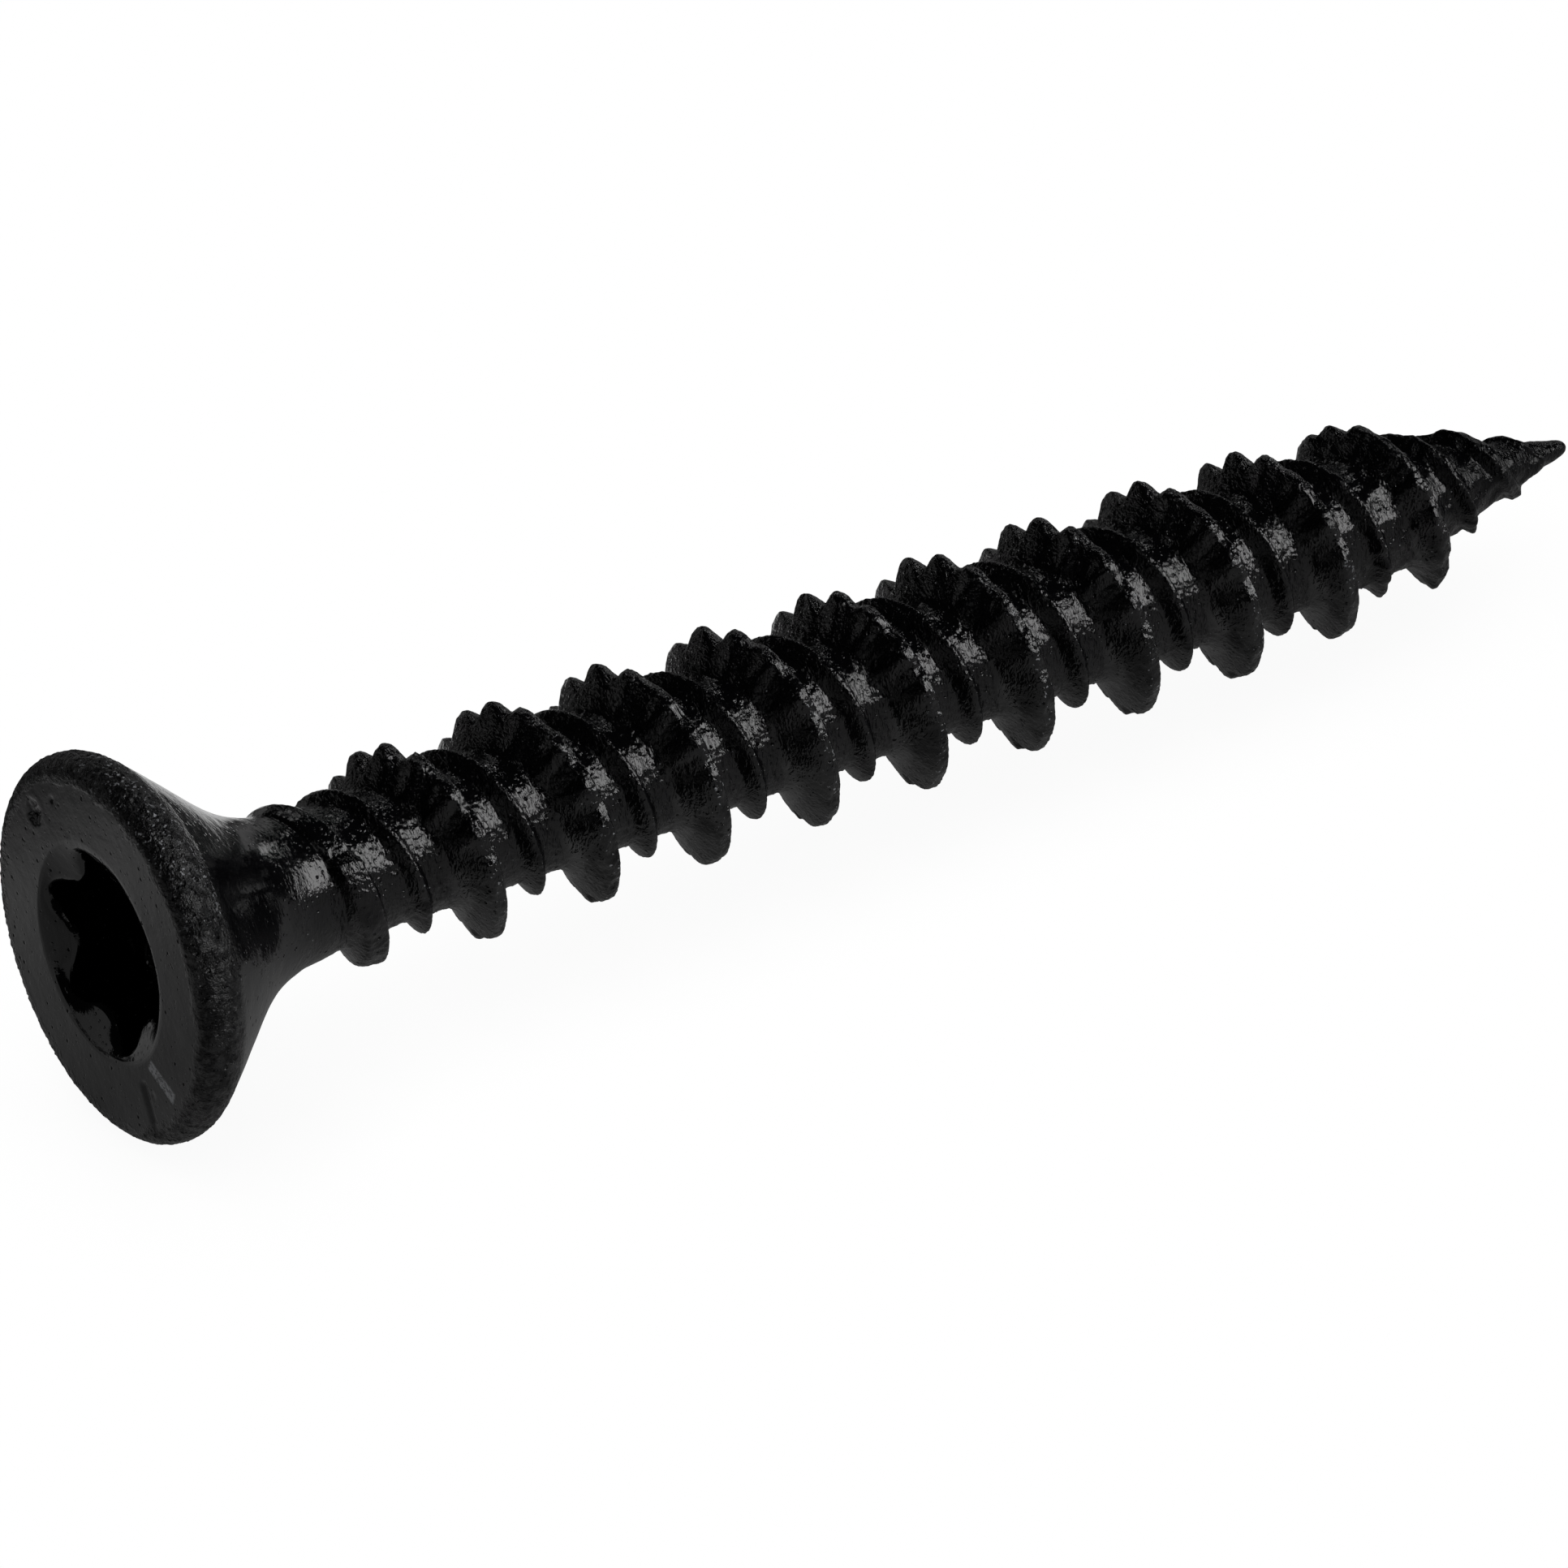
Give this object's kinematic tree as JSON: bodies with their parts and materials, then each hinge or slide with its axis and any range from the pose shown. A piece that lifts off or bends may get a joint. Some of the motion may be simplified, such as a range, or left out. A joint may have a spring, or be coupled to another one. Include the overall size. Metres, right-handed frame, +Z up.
{
  "type": "wood screw",
  "caption": "Countersunk flat-head screw with a six-lobe star drive, concave underhead, short plain neck, high-low double thread with a notched high crest, and a sharp conical point.",
  "frame": {"origin": "on the screw's axis, halfway along its length; this is the centre of its bounding box", "axes": "+X along the screw from the flat head face towards the point, +Z up with the screw lying level"},
  "size_m": [0.0572, 0.0124, 0.0124],
  "materials": {
    "coat": "semi-gloss black corrosion coating, slightly lumpy, worn on the rim and crests"
  },
  "bodies": {
    "root": {"screw": "coat"}
  },
  "joints": []
}
